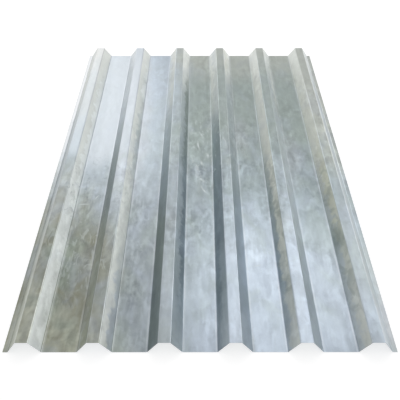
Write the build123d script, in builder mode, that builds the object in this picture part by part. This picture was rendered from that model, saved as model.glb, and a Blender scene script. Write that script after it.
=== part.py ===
"""Galvanised steel sheet with a trapezoidal profile, as used for roofs, walls and fences.

One strip of flat steel is roll-formed into a single sheet: narrow raised ribs and broad flat
valleys that run its whole length. X is across the sheet, Y along the ribs and Z upwards. The
origin is the middle of the sheet at the level that the valleys lie on.
"""

from build123d import *
import os

# Driving dimensions, in millimetres
sheet_length = 1800.0
steel_thickness = 0.7
rib_count = 6
rib_pitch = 200.0
rib_height = 44.0  # overall, from the underside of a valley to the top of a crest
crest_width = 34.0  # between the fold lines on the underside
web_run = 33.0  # how far a sloping web reaches sideways
lap_web_run = 29.0  # the same on the outermost webs, which stand a little steeper
lap_lip_width = 14.0  # the flat strip that ends each long edge
inner_bend_radius = 2.5

# The same folds from the other face of the steel
outer_bend_radius = inner_bend_radius + steel_thickness
underside_of_crest = rib_height - steel_thickness

cover_width = rib_pitch * (rib_count - 1)  # what each further sheet of a row adds to it
rib_centres = [rib * rib_pitch - cover_width / 2 for rib in range(rib_count)]

# Each long edge of the sheet ends in a lap web, and every other web is a plain one
plain_web_runs = [web_run] * (rib_count - 1)
left_web_runs = [lap_web_run, *plain_web_runs]
right_web_runs = [*plain_web_runs, lap_web_run]


def rib_fold_lines(centre, left_run, right_run):
    """The four fold lines of one rib on its underside: foot, crest, crest and foot."""
    crest_left = centre - crest_width / 2
    crest_right = centre + crest_width / 2
    return [
        (crest_left - left_run, 0),
        (crest_left, underside_of_crest),
        (crest_right, underside_of_crest),
        (crest_right + right_run, 0),
    ]


# The underside from one long edge to the other, as sharp corners
fold_lines = []
for centre, left_run, right_run in zip(rib_centres, left_web_runs, right_web_runs):
    fold_lines += rib_fold_lines(centre, left_run, right_run)
left_edge = (fold_lines[0][0] - lap_lip_width, 0)
right_edge = (fold_lines[-1][0] + lap_lip_width, 0)

# The underside is on the outside of the bends at a rib's feet, and on the inside at its crest
rib_bend_radii = [outer_bend_radius, inner_bend_radius, inner_bend_radius, outer_bend_radius]

# The section stands upright at the far end, and the sheet runs forward from it along -Y
with BuildPart() as corrugated_sheet:
    with BuildSketch(Plane.XZ.offset(-sheet_length / 2)) as section:
        with BuildLine() as steel_outline:
            FilletPolyline(left_edge, *fold_lines, right_edge, radius=rib_bend_radii * rib_count)
            offset(amount=steel_thickness, side=Side.LEFT)
        make_face()
    extrude(amount=sheet_length)

corrugated_sheet.part.label = "corrugated_sheet"

os.makedirs("parts", exist_ok=True)
export_step(corrugated_sheet.part, "parts/corrugated_sheet.step")

box = corrugated_sheet.part.bounding_box()
print(f"sheet {box.size.X:.1f} x {box.size.Y:.1f} x {box.size.Z:.2f} mm")
print(f"covers {cover_width:.0f} mm, ribs every {rib_pitch:.0f} mm")
print(f"flat strip {corrugated_sheet.part.volume / sheet_length / steel_thickness:.0f} mm wide")
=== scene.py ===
"""A weathered galvanised sheet with a trapezoidal profile, lying flat under soft studio light.

Lengths are in metres. X is across the sheet, Y along its ribs and Z upwards. The camera stands
beyond the -Y end and looks down along the ribs.
"""

import bmesh
import bpy
import math
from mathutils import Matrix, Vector, noise


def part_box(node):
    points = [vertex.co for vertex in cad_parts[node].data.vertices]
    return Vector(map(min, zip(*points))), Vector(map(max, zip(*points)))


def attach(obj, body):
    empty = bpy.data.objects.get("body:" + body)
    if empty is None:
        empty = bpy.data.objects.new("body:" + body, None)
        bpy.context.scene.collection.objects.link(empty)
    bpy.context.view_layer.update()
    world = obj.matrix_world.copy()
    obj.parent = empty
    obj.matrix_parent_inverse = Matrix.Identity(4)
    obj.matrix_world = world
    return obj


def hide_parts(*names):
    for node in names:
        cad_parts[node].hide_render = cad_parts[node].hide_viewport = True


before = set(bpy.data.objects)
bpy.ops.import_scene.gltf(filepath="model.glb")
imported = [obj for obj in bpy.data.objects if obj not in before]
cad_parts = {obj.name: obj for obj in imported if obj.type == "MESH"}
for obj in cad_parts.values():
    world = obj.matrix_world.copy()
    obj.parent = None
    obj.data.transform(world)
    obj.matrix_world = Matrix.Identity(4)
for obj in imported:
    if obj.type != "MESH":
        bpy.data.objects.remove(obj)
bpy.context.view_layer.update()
sheet_low, sheet_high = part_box("corrugated_sheet")

# The section of the sheet
STEEL = 0.0007
RIBS = 6
PITCH = 0.200
CREST_WIDTH = 0.034
WEB_RUN = 0.033
LAP_WEB_RUN = 0.029
LIP = 0.014
INNER_BEND = 0.0025
OUTER_BEND = INNER_BEND + STEEL
UNDER_CREST = sheet_high.z - STEEL
SHEET_LENGTH = sheet_high.y - sheet_low.y
HALF_CREST = CREST_WIDTH / 2
HALF_PAN = PITCH / 2 - HALF_CREST - WEB_RUN
OUTER_RIB = PITCH * (RIBS - 1) / 2

# How finely the steel is divided
BEND_STEPS = 4
COLUMN = 0.012
ROW = 0.030

# How far the flats ripple, how often in a metre, and what sets the crests apart from the valleys
PAN_RIPPLE = 0.0007
CREST_RIPPLE = 0.0003
RIPPLE_ACROSS = 9
PAN_RIPPLE_ALONG = 5.5
CREST_RIPPLE_ALONG = 7
CREST_RIPPLE_SHIFT = 3

# How much like turns may differ, and from which turn on an edge is sharp, in radians
LIKE_TURNS = 0.01
SHARP_TURN = 1.0

# A face is a cut edge where its normal points this much along the sheet or across it
SQUARE_ON = 0.9

# The places of the three finishes on the sheet
TOP, UNDERSIDE, CUT_EDGE = 0, 1, 2

# The map of the unrolled sheet: top, underside and then the long cut edges, side by side, with
# room at both ends of the top for the cut ends
TOP_SHARE = 0.66
UNDERSIDE_START = 0.67
UNDERSIDE_SHARE = 0.29
EDGE_STRIP = 0.006
EDGE_ROOM = 0.012
LEFT_EDGE = 1 - EDGE_STRIP
RIGHT_EDGE = 1 - 4 * EDGE_STRIP

# Tones of the zinc, as red, green and blue from 0 to 255 on a screen
GREEN_PATINA = (172, 184, 181)
PALE_PATINA = (196, 201, 194)
STEEL_PATINA = (166, 178, 185)
# Brighter zinc, partly a painted reflection over the far left flats
BRIGHT_ZINC_AND_SHEEN = (190, 197, 203)
# Zinc with a painted bluish sheen of the sky
SKY_SHEEN_ON_ZINC = (194, 205, 215)
PLAIN_ZINC = (202, 203, 204)
# Bluish zinc, and over the near right flats a painted sheen of the sky
BLUE_ZINC_AND_SHEEN = (179, 190, 201)
MILKY_ZINC = (195, 196, 194)
GREY_ZINC = (164, 173, 178)
OLIVE_STAIN = (150, 154, 146)
LIGHT_OLIVE = (173, 176, 161)
UMBER_STAIN = (142, 142, 124)
MOSS_STAIN = (140, 149, 138)
HAZE_BLUE = (178, 188, 202)
SAGE = (162, 174, 164)
WEB_ZINC = (178, 187, 190)
DUSTY_WEB = (194, 202, 205)
# Painted shade of the webs, darker towards the near middle and at their feet
SLATE_SHADE = (142, 154, 161)
# Painted shade on the webs and at their feet, and the tone of grime and dark blotches
MOSSY_SLATE_AND_SHADE = (136, 146, 142)
# Painted bluish shade on the right webs near the front, most at their feet
BLUE_WEB_SHADE = (176, 186, 198)
PALE_WEB = (196, 203, 206)
BLOOM = (219, 223, 219)
CHALK = (234, 239, 238)
# Bluish bloom, partly a painted reflection on the webs
SKY_SHEEN_AND_BLOOM = (222, 230, 238)
CREAM = (208, 211, 203)
OLIVE_WEB = (188, 191, 175)
# Dark grime and blade marks, and painted shade at the foot of a right web
DARK_GRIME_AND_SHADE = (112, 122, 128)
WHITE_RUST = (212, 221, 221)
# Zinc rubbed bright on the folds, together with their painted highlight
RUBBED_ZINC_AND_HIGHLIGHT = (224, 229, 233)
FRESH_STEEL = (176, 180, 184)

# Broad stains of the flats, some of them with painted sheen, laid in this order: tone, middle, reach,
# softness, strength
FLAT_STAINS = (
    (PALE_PATINA, (0.20, 1.00), (0.62, 0.30), 0.60, 0.9),
    (STEEL_PATINA, (0.15, -0.25), (0.55, 0.30), 0.60, 0.8),
    (GREY_ZINC, (-0.25, -0.55), (0.20, 0.60), 0.50, 1.0),
    (BLUE_ZINC_AND_SHEEN, (0.24, -0.90), (0.34, 0.54), 0.35, 1.0),
    (SKY_SHEEN_ON_ZINC, (-0.20, 0.80), (0.11, 0.80), 0.70, 1.0),
    (GREY_ZINC, (-0.50, -0.20), (0.22, 0.35), 0.30, 1.0),
    (BRIGHT_ZINC_AND_SHEEN, (-0.43, 0.60), (0.19, 0.64), 0.14, 1.0),
    (BRIGHT_ZINC_AND_SHEEN, (-0.28, 0.25), (0.07, 0.50), 0.30, 0.9),
    (PLAIN_ZINC, (-0.60, 0.60), (0.09, 0.70), 0.30, 0.8),
    (MILKY_ZINC, (-0.50, 0.66), (0.045, 0.44), 0.25, 0.9),
    (PALE_PATINA, (-0.10, 1.00), (0.035, 0.34), 0.40, 0.8),
    (STEEL_PATINA, (-0.50, 0.25), (0.04, 0.55), 0.30, 0.40),
    (OLIVE_STAIN, (-0.50, -0.68), (0.23, 0.46), 0.25, 1.0),
    (LIGHT_OLIVE, (-0.49, -1.00), (0.26, 0.27), 0.40, 1.0),
    (PALE_PATINA, (0.52, 0.60), (0.06, 0.70), 0.40, 1.0),
    (GREY_ZINC, (0.50, -0.50), (0.04, 0.24), 0.50, 0.7),
    (GREEN_PATINA, (-0.235, -0.88), (0.03, 0.15), 0.60, 0.5),
    (MOSS_STAIN, (-0.45, -0.56), (0.05, 0.14), 0.60, 0.75),
    (OLIVE_STAIN, (-0.50, -0.18), (0.03, 0.12), 0.60, 0.65),
    (UMBER_STAIN, (-0.58, -0.25), (0.045, 0.30), 0.50, 0.30),
    (BRIGHT_ZINC_AND_SHEEN, (0.37, 0.02), (0.035, 0.13), 0.60, 0.5),
    (SKY_SHEEN_ON_ZINC, (0.17, -0.42), (0.035, 0.15), 0.60, 0.6),
    (GREY_ZINC, (0.30, -0.40), (0.03, 0.15), 0.60, 0.4),
    (GREY_ZINC, (0.00, -0.20), (0.03, 0.12), 0.60, 0.4),
    (OLIVE_STAIN, (-0.10, -0.85), (0.03, 0.15), 0.60, 0.3),
    (PLAIN_ZINC, (0.58, -0.85), (0.035, 0.35), 0.50, 0.6),
    (GREY_ZINC, (0.58, -0.20), (0.03, 0.50), 0.40, 0.3),
    (BRIGHT_ZINC_AND_SHEEN, (0.165, 0.20), (0.03, 0.12), 0.60, 0.5),
    (GREY_ZINC, (0.42, -0.65), (0.07, 0.22), 0.50, 0.3),
    (GREY_ZINC, (-0.44, 0.25), (0.022, 0.75), 0.40, 0.2),
)

# Stains of the sloping webs, with painted shade at their feet and near the middle, and painted sheen
# on a few: where on a web, then as above
WEB_STAINS = (
    ("right", BLOOM, (0.10, 0.95), (0.90, 0.38), 0.40, 1.0),
    ("right_top", OLIVE_WEB, (0.23, 0.90), (0.20, 0.30), 0.50, 0.4),
    ("left", BLOOM, (-0.10, 0.95), (0.90, 0.60), 0.40, 1.0),
    ("all", SLATE_SHADE, (0.02, -0.40), (0.21, 0.60), 0.45, 0.9),
    ("all", DUSTY_WEB, (0.00, -1.05), (0.60, 0.28), 0.50, 0.8),
    ("left", MOSSY_SLATE_AND_SHADE, (-0.33, -0.10), (0.06, 0.32), 0.50, 0.5),
    ("left", OLIVE_WEB, (-0.43, -0.80), (0.17, 0.48), 0.50, 0.85),
    ("left", MOSSY_SLATE_AND_SHADE, (-0.14, -0.60), (0.06, 0.35), 0.50, 0.8),
    ("left_foot", PALE_WEB, (-0.34, -0.85), (0.05, 0.18), 0.50, 0.6),
    ("left_top", WEB_ZINC, (0.07, -0.66), (0.05, 0.20), 0.50, 0.5),
    ("left_top", WEB_ZINC, (0.07, 0.70), (0.05, 0.40), 0.50, 0.4),
    ("right", BLOOM, (-0.40, -0.20), (0.18, 1.40), 0.20, 1.0),
    ("right_foot", CHALK, (-0.47, -0.30), (0.06, 1.00), 0.20, 1.0),
    ("right_top", PALE_WEB, (-0.47, -0.50), (0.05, 0.50), 0.50, 0.35),
    ("right_foot", WEB_ZINC, (-0.27, 0.10), (0.06, 0.25), 0.50, 0.6),
    ("right_foot", CHALK, (-0.27, 0.62), (0.04, 0.16), 0.50, 0.8),
    ("left", SKY_SHEEN_AND_BLOOM, (-0.34, 0.60), (0.05, 0.42), 0.50, 0.65),
    ("left_foot", SKY_SHEEN_AND_BLOOM, (-0.14, 0.55), (0.05, 0.30), 0.50, 0.4),
    ("right_foot", BLUE_WEB_SHADE, (-0.27, -0.82), (0.06, 0.26), 0.50, 0.6),
    ("right_foot", MOSSY_SLATE_AND_SHADE, (-0.07, 0.30), (0.06, 0.30), 0.50, 0.7),
    ("right_foot", DARK_GRIME_AND_SHADE, (-0.07, -0.42), (0.06, 0.24), 0.50, 0.45),
    ("right_top", WEB_ZINC, (-0.07, -0.45), (0.06, 0.60), 0.40, 0.7),
    ("right", PALE_WEB, (0.33, 0.15), (0.07, 0.70), 0.40, 0.7),
    ("right_foot", BLOOM, (0.34, 0.58), (0.05, 0.22), 0.50, 0.7),
    ("right_foot", PALE_WEB, (0.14, 0.20), (0.05, 0.45), 0.40, 0.6),
    ("right_top", WEB_ZINC, (0.13, 0.00), (0.05, 0.30), 0.40, 0.5),
    ("right", BLUE_WEB_SHADE, (0.13, -0.65), (0.06, 0.35), 0.50, 0.55),
    ("right", WEB_ZINC, (0.54, 0.15), (0.06, 0.70), 0.50, 0.70),
    ("right", GREY_ZINC, (0.54, 0.10), (0.06, 0.34), 0.50, 0.8),
    ("right", SKY_SHEEN_AND_BLOOM, (0.54, -0.95), (0.06, 0.22), 0.50, 0.45),
    ("left", CREAM, (0.37, 0.15), (0.16, 0.65), 0.40, 1.0),
    ("left_top", OLIVE_WEB, (0.44, -0.40), (0.15, 0.45), 0.40, 0.8),
    ("left_foot", SLATE_SHADE, (0.27, -0.42), (0.27, 0.40), 0.40, 0.40),
    ("left", PALE_WEB, (0.44, -0.76), (0.08, 0.22), 0.50, 0.6),
    ("left", PALE_WEB, (0.37, -1.00), (0.15, 0.32), 0.50, 0.8),
    ("left_top", CREAM, (0.37, -0.95), (0.16, 0.30), 0.60, 0.8),
    ("left", MOSSY_SLATE_AND_SHADE, (0.47, -0.47), (0.03, 0.07), 0.60, 0.6),
    ("left_top", OLIVE_WEB, (0.27, -0.52), (0.04, 0.22), 0.50, 0.4),
    ("left_top", CREAM, (0.27, -0.30), (0.04, 0.40), 0.50, 0.6),
    ("left", BLOOM, (0.27, 0.50), (0.04, 0.40), 0.50, 0.5),
    ("left_top", SLATE_SHADE, (-0.53, 0.00), (0.04, 1.20), 0.20, 0.12),
    ("left_foot", CREAM, (-0.34, -0.62), (0.05, 0.42), 0.50, 0.35),
    ("left_foot", SLATE_SHADE, (0.07, -0.85), (0.05, 0.25), 0.50, 0.35),
)

# Scratches from handling: from, to, how far the line bows, and its width
SCRATCHES = (
    ((-0.446, -0.267), (-0.398, -0.263), 0.006, 0.0040),
    ((-0.385, -0.238), (-0.373, -0.206), 0.002, 0.0035),
    ((0.171, -0.568), (0.203, -0.558), -0.003, 0.0035),
)

# Leaf-like marks of white rust in the middle valley, given in the same way
RUST_LEAVES = (
    ((-0.002, 0.205), (0.013, 0.155), 0.004, 0.008),
    ((-0.007, 0.155), (0.003, 0.070), -0.005, 0.006),
    ((0.025, 0.062), (0.033, 0.015), 0.003, 0.009),
    ((0.005, 0.010), (0.018, -0.032), -0.004, 0.009),
    ((-0.019, -0.010), (-0.008, -0.070), 0.004, 0.008),
    ((-0.012, -0.100), (0.020, -0.138), 0.005, 0.008),
    ((0.004, -0.145), (0.034, -0.205), -0.006, 0.006),
)

# Areas with a manner of their own: middle, reach, softness
BRIGHT_AREA = ((-0.43, 0.60), (0.19, 0.68), 0.12)
CALM_AREA = ((-0.22, 0.45), (0.09, 0.60), 0.4)
BUSY_AREA = ((-0.10, -0.10), (0.40, 0.40), 0.5)
OLIVE_AREA = ((-0.50, -0.72), (0.23, 0.46), 0.25)
SMEARED_AREA = ((0.38, -0.42), (0.19, 0.46), 0.3)
GRIMY_BORDER = ((-0.40, -0.20), (0.14, 0.22), 0.5)
LEAFY_AREA = ((0.05, 0.10), (0.16, 0.24), 0.5)
FLECKED_AREA = ((-0.36, -0.45), (0.16, 0.25), 0.5)

# Heights as shares of a rib's: where the webs start and end, where their feet end, and the middle
# and half width of the folds that are rubbed bright and painted with a highlight
WEB_START = (0.05, 0.12)
WEB_END = (0.90, 0.97)
FOOT_END = (0.28, 0.56)
CREST_FOLD = (0.975, 0.03)
FOOT_FOLD = (0.035, 0.03)

# Distances from the middle of a rib: where its left half meets its right, and where its foot ends
MIDDLE_LINE = (-0.001, 0.001)
FOOT_REACH = (0.055, 0.056)

# Sizes of the patterns on the top of the sheet, and of the areas where they come and go
DRIFT = 0.09
BLOTCH = 0.080
GRIME = 0.030
SPOT = 0.020
CLOUD = 0.038
MOTTLE = 0.022
CRYSTAL = 0.012
STREAK = 0.010
FLECK = 0.020
RUST_BREAK = 0.015
FOLD_PATCHES = 0.05
BRUSHING = 0.003
PRESENCE = 0.10

# How strongly the patterns and marks show, and the middle of the texture's range
HAZE_STRENGTH = 0.28
SAGE_STRENGTH = 0.20
UMBER_STRENGTH = 0.62
MOSS_STRENGTH = 0.50
GRIME_STRENGTH = 0.38
SPOT_STRENGTH = 0.35
LEAFY_STRENGTH = 0.35
FLECK_STRENGTH = 0.25
SCRATCH_STRENGTH = 0.6
TEXTURE_STRENGTH = 0.56
TEXTURE_MIDDLE = 0.97

# Sizes of the patterns on the underside and on the cut edges
SHELTERED_CLOUD = 0.12
SHELTERED_CRYSTAL = 0.014
SHELTERED_MOTTLE = 0.030
BLADE_MARK = 0.003

# How strong and how deep each relief is, and the least roughness, so that no spot is a mirror
TOP_RELIEF = (0.25, 0.0004)
SHELTERED_RELIEF = (0.2, 0.0003)
BLADE_RELIEF = (0.3, 0.0001)
LEAST_ROUGHNESS = 0.285

# The floor, which shows white and keeps the shadow of the sheet
FLOOR_SIZE = 30
FLOOR_GAP = 0.0003
FLOOR_GREY = 0.50
FLOOR_GLOW = 0.66

# The dome of the studio: its strength at the horizon and overhead, and the heights between which
# it changes
HORIZON = 1.0
OVERHEAD = 0.68
FADE_START = 0.05
FADE_END = 0.5

# The camera: its lens and sensor in millimetres, its place, how many degrees it looks down, and
# its slight turn to one side in radians
LENS = 54.17
SENSOR = 36
CAMERA_PLACE = (-0.001, -1.9184, 1.4337)
LOOK_DOWN = 40.415
LOOK_ASIDE = -0.0008


def fold_lines():
    """(x, z) of each fold of the underside, with both long edges first and last."""
    folds = []
    for rib in range(RIBS):
        centre = (rib - (RIBS - 1) / 2) * PITCH
        left, right = centre - HALF_CREST, centre + HALF_CREST
        left_run = LAP_WEB_RUN if rib == 0 else WEB_RUN
        right_run = LAP_WEB_RUN if rib == RIBS - 1 else WEB_RUN
        folds += [(left - left_run, 0), (left, UNDER_CREST)]
        folds += [(right, UNDER_CREST), (right + right_run, 0)]
    return [(folds[0][0] - LIP, 0), *folds, (folds[-1][0] + LIP, 0)]


def runs_along(edge):
    """Whether an edge lies along the ribs."""
    a, b = edge.verts
    return abs(a.co.y - b.co.y) > abs(a.co.x - b.co.x)


def bend_folds(bm, level, radius):
    """Rounds every fold at one level, from the edge where two flats meet."""
    folds = [
        edge for edge in bm.edges
        if runs_along(edge) and not edge.is_boundary and abs(edge.verts[0].co.z - level) < STEEL
    ]
    for run in (WEB_RUN, LAP_WEB_RUN):
        turn = math.atan2(UNDER_CREST, run)
        alike = [
            edge for edge in folds
            if edge.is_valid and abs(edge.calc_face_angle() - turn) < LIKE_TURNS
        ]
        bmesh.ops.bevel(
            bm, geom=alike, offset=radius * math.tan(turn / 2), offset_type="OFFSET",
            segments=BEND_STEPS, profile=0.5, material=-1, affect="EDGES",
        )


def roll_strip():
    """The underside of the sheet: flats and true bends, in rows and columns, facing down."""
    bm = bmesh.new()
    end = [bm.verts.new((x, sheet_low.y, z)) for x, z in fold_lines()]
    section = [bm.edges.new(pair) for pair in zip(end, end[1:])]
    swept = bmesh.ops.extrude_edge_only(bm, edges=section)["geom"]
    far_end = [part for part in swept if isinstance(part, bmesh.types.BMVert)]
    bmesh.ops.translate(bm, verts=far_end, vec=(0, SHEET_LENGTH, 0))
    bend_folds(bm, 0, OUTER_BEND)
    bend_folds(bm, UNDER_CREST, INNER_BEND)
    across = [edge for edge in bm.edges if not runs_along(edge)]
    most_cuts = int(max(edge.calc_length() for edge in across) / COLUMN)
    for cuts in range(1, most_cuts + 1):
        wide = [edge for edge in across if edge.is_valid and int(edge.calc_length() / COLUMN) == cuts]
        if wide:
            bmesh.ops.subdivide_edges(bm, edges=wide, cuts=cuts, use_grid_fill=True)
    along = [edge for edge in bm.edges if runs_along(edge)]
    rows = round(SHEET_LENGTH / ROW)
    bmesh.ops.subdivide_edges(bm, edges=along, cuts=rows - 1, use_grid_fill=True)
    bmesh.ops.recalc_face_normals(bm, faces=bm.faces)
    if sum(face.normal.z for face in bm.faces) > 0:
        bmesh.ops.reverse_faces(bm, faces=bm.faces)
    return bm


def ripple(bm):
    """The slight waviness of thin rolled steel, in the middle of each flat."""
    for vert in bm.verts:
        x, y, z = vert.co
        from_rib = PITCH / 2 - abs((x + PITCH / 2 * (RIBS + 1)) % PITCH - PITCH / 2)
        if z < STEEL and abs(x) < OUTER_RIB:
            inward = max(0.0, 1 - ((PITCH / 2 - from_rib) / HALF_PAN) ** 2)
            spot = Vector((x * RIPPLE_ACROSS, y * PAN_RIPPLE_ALONG, 0))
            vert.co.z += PAN_RIPPLE * inward * (0.5 + 0.5 * noise.noise(spot))
        elif z > UNDER_CREST - STEEL / 2:
            inward = max(0.0, 1 - (from_rib / HALF_CREST) ** 2)
            spot = Vector((x * RIPPLE_ACROSS, y * CREST_RIPPLE_ALONG, CREST_RIPPLE_SHIFT))
            vert.co.z -= CREST_RIPPLE * inward * (0.5 + 0.5 * noise.noise(spot))


def flat_strip_map(bm):
    """Lays the sheet out as the strip it was rolled from, with its underside and edges beside it."""
    layer = bm.loops.layers.uv.new("OFBake")
    section = fold_lines()
    run = [0.0]
    for (x0, z0), (x1, z1) in zip(section, section[1:]):
        run.append(run[-1] + math.hypot(x1 - x0, z1 - z0))
    for face in bm.faces:
        for loop in face.loops:
            x, y, _ = loop.vert.co
            fold = max(i for i in range(len(section) - 1) if i == 0 or section[i][0] <= x)
            part = (x - section[fold][0]) / (section[fold + 1][0] - section[fold][0])
            across = (run[fold] + part * (run[fold + 1] - run[fold])) / run[-1]
            along = EDGE_ROOM + (y - sheet_low.y) / SHEET_LENGTH * (1 - 2 * EDGE_ROOM)
            on_top = any(near.material_index == TOP for near in loop.vert.link_faces)
            through = EDGE_STRIP if on_top else 0
            if face.material_index == TOP:
                spot = (across * TOP_SHARE, along)
            elif face.material_index == UNDERSIDE:
                spot = (UNDERSIDE_START + across * UNDERSIDE_SHARE, along)
            elif abs(face.normal.y) > SQUARE_ON:
                spot = (across * TOP_SHARE, through if y < 0 else 1 - through)
            else:
                spot = (LEFT_EDGE - through if x < 0 else RIGHT_EDGE + through, along)
            loop[layer].uv = spot


def galvanised_sheet():
    """The rolled sheet with its thickness, its ripple and its three finishes."""
    bm = roll_strip()
    ripple(bm)
    bmesh.ops.solidify(bm, geom=bm.faces[:], thickness=STEEL)
    bm.normal_update()
    for face in bm.faces:
        cut = max(abs(face.normal.x), abs(face.normal.y)) > SQUARE_ON
        face.smooth = not cut
        face.material_index = CUT_EDGE if cut else UNDERSIDE if face.normal.z < 0 else TOP
    for edge in bm.edges:
        edge.smooth = len(edge.link_faces) == 2 and edge.calc_face_angle() < SHARP_TURN
    flat_strip_map(bm)
    mesh = bpy.data.meshes.new("galvanised_sheet")
    bm.to_mesh(mesh)
    bm.free()
    for finish in (weathered_top(), plain_underside(), sheared_edge()):
        mesh.materials.append(finish)
    piece = bpy.data.objects.new("galvanised_sheet", mesh)
    bpy.context.scene.collection.objects.link(piece)
    shade = piece.modifiers.new("even_shading", "WEIGHTED_NORMAL")
    shade.keep_sharp = True
    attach(piece, "root")
    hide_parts("corrugated_sheet")


def light_of(tone):
    """A tone from the screen as the light that it stands for, by the curve of sRGB."""
    parts = [part / 255 for part in tone]
    return (*[p / 12.92 if p < 0.04045 else ((p + 0.055) / 1.055) ** 2.4 for p in parts], 1)


class Finish:
    """One metal finish and the nodes that make it up."""

    def __init__(self, name):
        self.material = bpy.data.materials.new(name)
        self.material.use_nodes = True
        self.tree = self.material.node_tree
        self.shader = self.tree.nodes["Principled BSDF"]
        self.place = self.tree.nodes.new("ShaderNodeTexCoord").outputs["Object"]
        self.x, self.y, self.z = self.node("ShaderNodeSeparateXYZ", self.place).outputs
        self.border_x, self.border_y = self.x, self.y

    def node(self, kind, *values, **settings):
        """A node with its settings, and its inputs set or linked in order."""
        made = self.tree.nodes.new(kind)
        for name, value in settings.items():
            setattr(made, name, value)
        for socket, value in zip(made.inputs, values):
            self.put(value, socket)
        return made

    def put(self, value, socket):
        """Links another node's output to a socket, or sets a plain value there."""
        if isinstance(value, bpy.types.NodeSocket):
            self.tree.links.new(value, socket)
        else:
            socket.default_value = value

    def calc(self, operation, *values, clamp=False):
        """The result of a Math node."""
        return self.node("ShaderNodeMath", *values, operation=operation, use_clamp=clamp).outputs[0]

    def chain(self, operation, values):
        """The first value worked together with each of the others in turn."""
        result = values[0]
        for value in values[1:]:
            result = self.calc(operation, result, value)
        return result

    def plus(self, *values):
        """The sum of some values."""
        return self.chain("ADD", values)

    def times(self, *values):
        """The product of some values or masks."""
        return self.chain("MULTIPLY", values)

    def most(self, *values):
        """The highest of some values."""
        return self.chain("MAXIMUM", values)

    def less(self, value, taken):
        """A value with another taken from it."""
        return self.calc("SUBTRACT", value, taken)

    def other(self, mask):
        """1 where a mask is 0, and 0 where it is 1."""
        return self.calc("SUBTRACT", 1.0, mask)

    def scaled(self, value, factor, offset):
        """A value times a factor, and an offset added."""
        return self.calc("MULTIPLY_ADD", value, factor, offset)

    def mixed(self, pair, first, second):
        """The sum of two values, each with its share."""
        return self.plus(self.times(pair[0], first), self.times(pair[1], second))

    def rise(self, value, low, high, start=0.0, end=1.0):
        """A smooth step from start to end, as value goes from low to high."""
        step = self.node(
            "ShaderNodeMapRange", value, low, high, start, end, interpolation_type="SMOOTHSTEP",
        )
        return step.outputs[0]

    def fall(self, value, low, high):
        """A smooth step from 1 to 0, as value goes from low to high."""
        return self.rise(value, low, high, 1.0, 0.0)

    def band(self, value, middle, half):
        """1 where value is at middle, and 0 once it is more than half away."""
        return self.fall(self.calc("ABSOLUTE", self.less(value, middle)), 0.0, half)

    def grain(self, size, stretch=1.0, layers=3.0, rough=0.5, twist=0.0, shift=0.0):
        """Cloudy noise from 0 to 1, with patches of a size, stretched along the ribs if told."""
        scale = (1 / size, 1 / (size * stretch), 1 / size)
        shifts = (shift, shift, shift)
        spot = self.node("ShaderNodeVectorMath", self.place, scale, shifts, operation="MULTIPLY_ADD")
        cloud = self.node("ShaderNodeTexNoise", noise_dimensions="3D")
        self.put(spot.outputs[0], cloud.inputs["Vector"])
        self.put(1.0, cloud.inputs["Scale"])
        self.put(layers, cloud.inputs["Detail"])
        self.put(rough, cloud.inputs["Roughness"])
        self.put(twist, cloud.inputs["Distortion"])
        return cloud.outputs["Fac"]

    def crystals(self, size):
        """A value from 0 to 1 that is even within each zinc crystal and steps at its edges."""
        cells = self.node("ShaderNodeTexVoronoi", feature="F1")
        self.put(self.place, cells.inputs["Vector"])
        self.put(1 / size, cells.inputs["Scale"])
        return self.node("ShaderNodeSeparateColor", cells.outputs["Color"]).outputs[0]

    def wander(self, far, size, shift):
        """A gentle offset of up to about far either way, for ragged borders."""
        cloud = self.grain(size, layers=5.0, rough=0.6, shift=shift)
        return self.times(self.less(cloud, 0.5), 4 * far)

    def fray_borders(self):
        """Makes the borders of the patches that are laid from now on ragged."""
        self.border_x = self.plus(self.x, self.wander(far=0.020, size=0.16, shift=3.0))
        self.border_y = self.plus(self.y, self.wander(far=0.080, size=0.22, shift=11.0))

    def patch(self, centre, reach, soft):
        """An uneven round patch: 1 inside, 0 outside, with a border as soft as it is told."""
        across = self.calc("DIVIDE", self.less(self.border_x, centre[0]), reach[0])
        along = self.calc("DIVIDE", self.less(self.border_y, centre[1]), reach[1])
        away = self.calc("SQRT", self.plus(self.times(across, across), self.times(along, along)))
        return self.fall(away, 1 - soft, 1 + soft)

    def bowed_mark(self, start, end, bow, width):
        """A thin bowed mark on the surface, faint at both ends."""
        run_x, run_y = end[0] - start[0], end[1] - start[1]
        length = math.hypot(run_x, run_y)
        from_start = self.less(self.x, start[0]), self.less(self.y, start[1])
        along = self.mixed(from_start, run_x / length ** 2, run_y / length ** 2)
        across = self.mixed(from_start, -run_y / length, run_x / length)
        arch = self.times(along, self.other(along), 4 * bow)
        return self.times(self.band(across, arch, width), self.band(along, 0.5, 0.55))

    def lay(self, colour, tone, amount):
        """Lays a tone over a colour."""
        mix = self.node("ShaderNodeMix", data_type="RGBA", blend_type="MIX")
        self.put(amount, mix.inputs["Factor"])
        self.put(colour, mix.inputs["A"])
        self.put(light_of(tone) if isinstance(tone, tuple) else tone, mix.inputs["B"])
        return mix.outputs["Result"]

    def shade(self, colour, factor):
        """Makes a colour lighter or darker by a factor."""
        return self.node("ShaderNodeVectorMath", colour, factor, operation="MULTIPLY").outputs[0]

    def lightness(self, colour):
        """How light a colour is, from 0 to 1."""
        return self.node("ShaderNodeRGBToBW", colour).outputs[0]

    def relief(self, height, strength, depth):
        """Lets a pattern stand up a little from the surface."""
        bump = self.node("ShaderNodeBump")
        self.put(strength, bump.inputs["Strength"])
        self.put(depth, bump.inputs["Distance"])
        self.put(height, bump.inputs["Height"])
        self.put(bump.outputs[0], self.shader.inputs["Normal"])


def place_on_rib(coat):
    """How far right of its rib's middle a point lies, and its height as a share of the rib's."""
    along_pitch = coat.calc("WRAP", coat.x, PITCH, 0.0)
    return coat.less(along_pitch, PITCH / 2), coat.calc("DIVIDE", coat.z, sheet_high.z)


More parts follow.
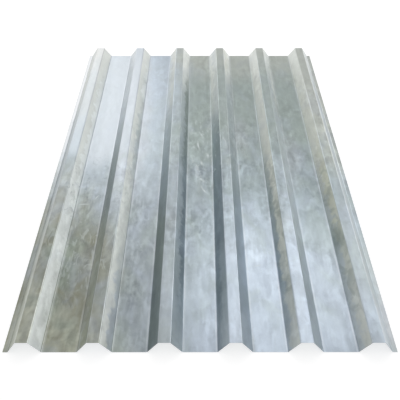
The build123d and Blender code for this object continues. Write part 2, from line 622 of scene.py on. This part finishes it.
def parts_of_webs(coat, from_rib, climb):
    """The sloping webs as a mask, and masks of their sides and of their ragged feet and tops."""
    web = coat.times(coat.rise(climb, *WEB_START), coat.fall(climb, *WEB_END))
    ragged_climb = coat.plus(climb, coat.wander(far=0.38, size=0.045, shift=19.0))
    foot = coat.fall(ragged_climb, *FOOT_END)
    top = coat.other(foot)
    right = coat.rise(from_rib, *MIDDLE_LINE)
    left = coat.other(right)
    part = {"all": 1.0, "left": left, "right": right}
    part.update(left_foot=coat.times(left, foot), right_foot=coat.times(right, foot))
    part.update(left_top=coat.times(left, top), right_top=coat.times(right, top))
    return web, part


def broad_tones(coat, part):
    """The tones of the flats and of the webs, with the stains, painted sheen and painted shade laid
    over them.
    """
    flats = light_of(GREEN_PATINA)
    for tone, middle, reach, soft, strength in FLAT_STAINS:
        flats = coat.lay(flats, tone, coat.times(coat.patch(middle, reach, soft), strength))
    webs = light_of(WEB_ZINC)
    for where, tone, middle, reach, soft, strength in WEB_STAINS:
        stain = coat.times(coat.patch(middle, reach, soft), strength, part[where])
        webs = coat.lay(webs, tone, stain)
    return flats, webs


def lively_zinc(coat, web):
    """How strongly the zinc is patterned: most about the middle, and least where it is bright."""
    far = coat.rise(coat.y, -0.10, 0.70)
    calm = coat.most(
        coat.times(coat.patch(*BRIGHT_AREA), 0.75), coat.times(far, 0.50),
        coat.times(web, 0.45), coat.times(coat.patch(*CALM_AREA), 0.50),
    )
    busy = coat.scaled(coat.patch(*BUSY_AREA), 0.20, 1.0)
    return coat.times(coat.other(calm), busy)


def hue_drifts(coat, colour, lively):
    """Lays bluish and greenish drifts."""
    drift = coat.grain(DRIFT, stretch=1.8, twist=0.8, shift=5.0)
    haze = coat.times(coat.rise(drift, 0.50, 0.68), lively, HAZE_STRENGTH)
    colour = coat.lay(colour, HAZE_BLUE, haze)
    sage = coat.times(coat.fall(drift, 0.34, 0.50), lively, SAGE_STRENGTH)
    return coat.lay(colour, SAGE, sage)


def dirt(coat, colour, web, left, from_rib):
    """Lays blotches on the olive stain and the left webs of the right ribs, and dark spots."""
    kept_clean = coat.times(web, coat.rise(from_rib, *MIDDLE_LINE, 0.45, 1.0))
    stained = coat.times(coat.patch(*OLIVE_AREA), coat.other(kept_clean))
    smeared = coat.times(coat.patch(*SMEARED_AREA), web, left)
    blotch = coat.grain(BLOTCH, stretch=1.6, twist=0.8, shift=13.0)
    umber = coat.times(coat.rise(blotch, 0.48, 0.68), coat.most(stained, coat.times(smeared, 0.15)))
    colour = coat.lay(colour, UMBER_STAIN, coat.times(umber, UMBER_STRENGTH))
    moss = coat.times(coat.fall(blotch, 0.32, 0.48), coat.most(stained, coat.times(smeared, 0.40)))
    colour = coat.lay(colour, MOSS_STAIN, coat.times(moss, MOSS_STRENGTH))
    grime = coat.rise(coat.grain(GRIME, stretch=1.5, twist=0.8, shift=51.0), 0.47, 0.62)
    colour = coat.lay(colour, MOSSY_SLATE_AND_SHADE, coat.times(grime, smeared, GRIME_STRENGTH))
    spots = coat.rise(coat.grain(SPOT, stretch=1.6, twist=1.0, shift=61.0), 0.56, 0.70)
    return coat.lay(colour, DARK_GRIME_AND_SHADE, coat.times(spots, coat.patch(*GRIMY_BORDER), SPOT_STRENGTH))


def mottled(coat, colour, lively, mottle, crystal):
    """Makes a colour lighter and darker with clouds, mottling, crystals and streaks."""
    cloud = coat.rise(coat.grain(CLOUD, stretch=2.8, twist=0.8, shift=9.0), 0.34, 0.66)
    coming = coat.rise(coat.grain(PRESENCE, stretch=1.5, shift=37.0), 0.38, 0.62, 0.60, 1.30)
    streak = coat.grain(STREAK, stretch=12, layers=2.0, shift=2.0)
    spread = coat.rise(mottle, 0.38, 0.70, 0.40, 0.67)
    texture = coat.plus(
        coat.times(cloud, 0.30), coat.times(spread, 1.15),
        coat.times(crystal, 0.14), coat.times(streak, 0.35),
    )
    swing = coat.times(lively, coming, TEXTURE_STRENGTH)
    return coat.shade(colour, coat.scaled(coat.less(texture, TEXTURE_MIDDLE), swing, 1.0))


def white_marks(coat):
    """Where the zinc is flecked, scratched or has white rust."""
    fleck = coat.rise(coat.grain(FLECK, stretch=2.8, layers=2.0, twist=1.2, shift=21.0), 0.55, 0.68)
    leafy = coat.times(coat.patch(*LEAFY_AREA), LEAFY_STRENGTH)
    flecked = coat.times(coat.patch(*FLECKED_AREA), FLECK_STRENGTH)
    marks = coat.times(fleck, coat.most(leafy, flecked))
    for scratch in SCRATCHES:
        marks = coat.most(marks, coat.times(coat.bowed_mark(*scratch), SCRATCH_STRENGTH))
    broken = coat.rise(coat.grain(RUST_BREAK, stretch=1.5, shift=43.0), 0.35, 0.60, 0.45, 1.0)
    for leaf in RUST_LEAVES:
        marks = coat.most(marks, coat.times(coat.bowed_mark(*leaf), broken))
    return marks


def rubbed_and_highlit_folds(coat, from_rib, climb):
    """Where the folds are rubbed bright and carry a painted highlight, unevenly, along the crests and
    at the feet of the ribs.
    """
    beside = coat.fall(coat.calc("ABSOLUTE", from_rib), *FOOT_REACH)
    feet = coat.times(coat.band(climb, *FOOT_FOLD), beside)
    folds = coat.calc("ADD", coat.band(climb, *CREST_FOLD), feet, clamp=True)
    patchy = coat.rise(coat.grain(FOLD_PATCHES, stretch=3, shift=31.0), 0.35, 0.60, 0.15, 0.60)
    return coat.times(folds, patchy)


def weathered_top():
    """The face that has been in the weather: dulled zinc with stains, bloom, painted shade and sheen,
    and rubbed folds with a painted highlight.
    """
    coat = Finish("weathered_zinc")
    coat.fray_borders()
    from_rib, climb = place_on_rib(coat)
    web, part = parts_of_webs(coat, from_rib, climb)
    flats, webs = broad_tones(coat, part)
    lively = lively_zinc(coat, web)
    mottle = coat.grain(MOTTLE, stretch=2.2, layers=2.4, rough=0.45, twist=0.6, shift=1.0)
    crystal = coat.crystals(CRYSTAL)

    colour = coat.lay(flats, webs, web)
    colour = hue_drifts(coat, colour, lively)
    colour = dirt(coat, colour, web, part["left"], from_rib)
    colour = mottled(coat, colour, lively, mottle, crystal)
    marks = white_marks(coat)
    colour = coat.lay(colour, WHITE_RUST, marks)
    # Rubbed zinc and a painted highlight along the folds
    colour = coat.lay(colour, RUBBED_ZINC_AND_HIGHLIGHT, rubbed_and_highlit_folds(coat, from_rib, climb))
    coat.put(colour, coat.shader.inputs["Base Color"])

    # The pale webs and the white marks are less metallic and rougher
    pale = coat.rise(coat.lightness(webs), 0.35, 0.75)
    oxide = coat.most(coat.times(pale, web, 0.45), coat.times(marks, 0.6))
    coat.put(coat.other(oxide), coat.shader.inputs["Metallic"])
    brushing = coat.grain(BRUSHING, stretch=14, shift=41.0)
    dull = coat.plus(coat.scaled(mottle, 0.14, 0.18), coat.times(oxide, 0.25))
    dull = coat.plus(dull, coat.mixed((crystal, brushing), 0.06, 0.10))
    coat.put(coat.most(dull, LEAST_ROUGHNESS), coat.shader.inputs["Roughness"])
    coat.relief(coat.plus(mottle, coat.mixed((crystal, brushing), 0.4, 0.5)), *TOP_RELIEF)
    return coat.material


def plain_underside():
    """The face that lay out of the weather: even zinc with its crystals showing."""
    coat = Finish("sheltered_zinc")
    cloud = coat.grain(SHELTERED_CLOUD, stretch=2, shift=8.0)
    crystal = coat.crystals(SHELTERED_CRYSTAL)
    mottle = coat.grain(SHELTERED_MOTTLE, layers=4.0, shift=4.0)
    colour = coat.lay(light_of(GREEN_PATINA), BLUE_ZINC_AND_SHEEN, coat.rise(cloud, 0.35, 0.65))
    texture = coat.mixed((mottle, crystal), 0.5, 0.16)
    coat.put(coat.shade(colour, coat.plus(texture, 0.62)), coat.shader.inputs["Base Color"])
    coat.put(1.0, coat.shader.inputs["Metallic"])
    coat.put(coat.scaled(crystal, 0.10, 0.30), coat.shader.inputs["Roughness"])
    coat.relief(coat.plus(mottle, crystal), *SHELTERED_RELIEF)
    return coat.material


def sheared_edge():
    """The steel that shows where the sheet was sheared, with fine marks of the blade."""
    coat = Finish("sheared_steel")
    marks = coat.grain(BLADE_MARK, layers=2.0, shift=6.0)
    colour = coat.lay(light_of(FRESH_STEEL), DARK_GRIME_AND_SHADE, coat.rise(marks, 0.45, 0.7, 0.0, 0.5))
    coat.put(colour, coat.shader.inputs["Base Color"])
    coat.put(1.0, coat.shader.inputs["Metallic"])
    coat.put(coat.scaled(marks, 0.2, 0.35), coat.shader.inputs["Roughness"])
    coat.relief(marks, *BLADE_RELIEF)
    return coat.material


def pale_floor_finish():
    """Matt grey under the lamps, with a glow that shows white to the camera and in reflections."""
    pale = bpy.data.materials.new("pale_floor")
    pale.use_nodes = True
    nodes, links = pale.node_tree.nodes, pale.node_tree.links
    nodes.clear()
    path = nodes.new("ShaderNodeLightPath")
    seen = path.outputs["Is Camera Ray"]
    for ray in ("Is Glossy Ray", "Is Transmission Ray"):
        either = nodes.new("ShaderNodeMath")
        either.operation = "MAXIMUM"
        links.new(seen, either.inputs[0])
        links.new(path.outputs[ray], either.inputs[1])
        seen = either.outputs[0]
    strength = nodes.new("ShaderNodeMath")
    strength.operation = "MULTIPLY"
    strength.inputs[1].default_value = FLOOR_GLOW
    links.new(seen, strength.inputs[0])
    glow = nodes.new("ShaderNodeEmission")
    links.new(strength.outputs[0], glow.inputs["Strength"])
    matt = nodes.new("ShaderNodeBsdfDiffuse")
    matt.inputs["Color"].default_value = (FLOOR_GREY, FLOOR_GREY, FLOOR_GREY, 1)
    both = nodes.new("ShaderNodeAddShader")
    links.new(matt.outputs[0], both.inputs[0])
    links.new(glow.outputs[0], both.inputs[1])
    surface = nodes.new("ShaderNodeOutputMaterial")
    links.new(both.outputs[0], surface.inputs["Surface"])
    return pale


def lay_floor():
    """A plain pale floor, a hair below the sheet."""
    mesh = bpy.data.meshes.new("floor")
    bm = bmesh.new()
    bmesh.ops.create_grid(bm, x_segments=1, y_segments=1, size=FLOOR_SIZE)
    bmesh.ops.translate(bm, verts=bm.verts, vec=(0, 0, -FLOOR_GAP))
    bm.to_mesh(mesh)
    bm.free()
    mesh.materials.append(pale_floor_finish())
    floor = bpy.data.objects.new("floor", mesh)
    bpy.context.scene.collection.objects.link(floor)


def raise_dome():
    """A dome that is white at the horizon and softer overhead."""
    studio = bpy.data.worlds.new("studio")
    bpy.context.scene.world = studio
    studio.use_nodes = True
    nodes, links = studio.node_tree.nodes, studio.node_tree.links
    dome = nodes["Background"]
    dome.inputs["Color"].default_value = (1, 1, 1, 1)
    towards = nodes.new("ShaderNodeTexCoord")
    axes = nodes.new("ShaderNodeSeparateXYZ")
    fade = nodes.new("ShaderNodeMapRange")
    fade.interpolation_type = "SMOOTHSTEP"
    fade.inputs["From Min"].default_value = FADE_START
    fade.inputs["From Max"].default_value = FADE_END
    fade.inputs["To Min"].default_value = HORIZON
    fade.inputs["To Max"].default_value = OVERHEAD
    links.new(towards.outputs["Generated"], axes.inputs[0])
    links.new(axes.outputs["Z"], fade.inputs["Value"])
    links.new(fade.outputs[0], dome.inputs["Strength"])


def softbox(name, place, aim, size, power):
    """A soft rectangular lamp that faces the point it is aimed at."""
    light = bpy.data.lights.new(name, "AREA")
    light.shape = "RECTANGLE"
    light.size, light.size_y = size
    light.energy = power
    lamp = bpy.data.objects.new(name, light)
    lamp.location = place
    lamp.rotation_euler = (Vector(aim) - Vector(place)).to_track_quat("-Z", "Y").to_euler()
    bpy.context.scene.collection.objects.link(lamp)


def set_camera():
    """The camera beyond the near end, which looks down along the ribs."""
    camera_data = bpy.data.cameras.new("camera")
    camera_data.lens = LENS
    camera_data.sensor_width = SENSOR
    camera = bpy.data.objects.new("camera", camera_data)
    camera.location = CAMERA_PLACE
    camera.rotation_euler = (math.radians(90 - LOOK_DOWN), 0, LOOK_ASIDE)
    bpy.context.scene.collection.objects.link(camera)
    bpy.context.scene.camera = camera


galvanised_sheet()
lay_floor()
raise_dome()
softbox("far_left", place=(-1.05, 2.4, 1.35), aim=(-0.3, 0.4, 0), size=(1.4, 1.6), power=6.5)
softbox("near_right", place=(0.65, 1.25, 2.2), aim=(0.3, -0.6, 0), size=(1.5, 1.1), power=5.5)
softbox("low_right", place=(2.4, 1.7, 0.9), aim=(-0.3, -0.2, 0), size=(1.8, 1.2), power=11)
set_camera()

bpy.context.scene.view_settings.view_transform = "Standard"
